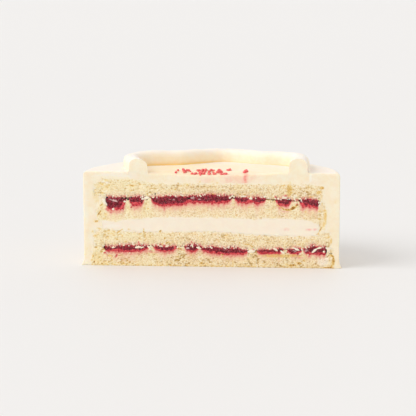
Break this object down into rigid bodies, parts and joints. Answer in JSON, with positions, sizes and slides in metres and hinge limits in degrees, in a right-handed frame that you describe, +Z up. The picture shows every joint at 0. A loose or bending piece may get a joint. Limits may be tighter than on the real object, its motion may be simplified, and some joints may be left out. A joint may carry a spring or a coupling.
{
  "type": "victoria sponge cake",
  "caption": "Round iced layer cake cut in half, its flat cut showing sponge, jam and cream layers, with a thick piped ring and red fruit crumbs on top.",
  "frame": {"origin": "Middle of the base of the cake's bounding box, in the plane it stands on.", "axes": "+X runs along the cut, to the right for someone who faces the cut. +Y points from the cut into the cake, so the cut faces -Y. +Z is up."},
  "size_m": [0.184, 0.092, 0.0776],
  "materials": {
    "sponge": "soft open crumb of pale yellow sponge, matt",
    "jam": "dark red fruit jam, wet gloss, brighter red where it is thin",
    "cream": "pale buttercream, soft sheen",
    "icing": "ivory buttercream scraped smooth, soft sheen",
    "ring": "ivory buttercream piped smooth, soft sheen"
  },
  "bodies": {
    "root": {"sponge_1": "sponge", "sponge_2": "sponge", "sponge_3": "sponge", "sponge_4": "sponge", "jam_lower": "jam", "jam_upper": "jam", "cream_filling": "cream", "icing": "icing", "piped_ring": "ring"}
  },
  "joints": []
}
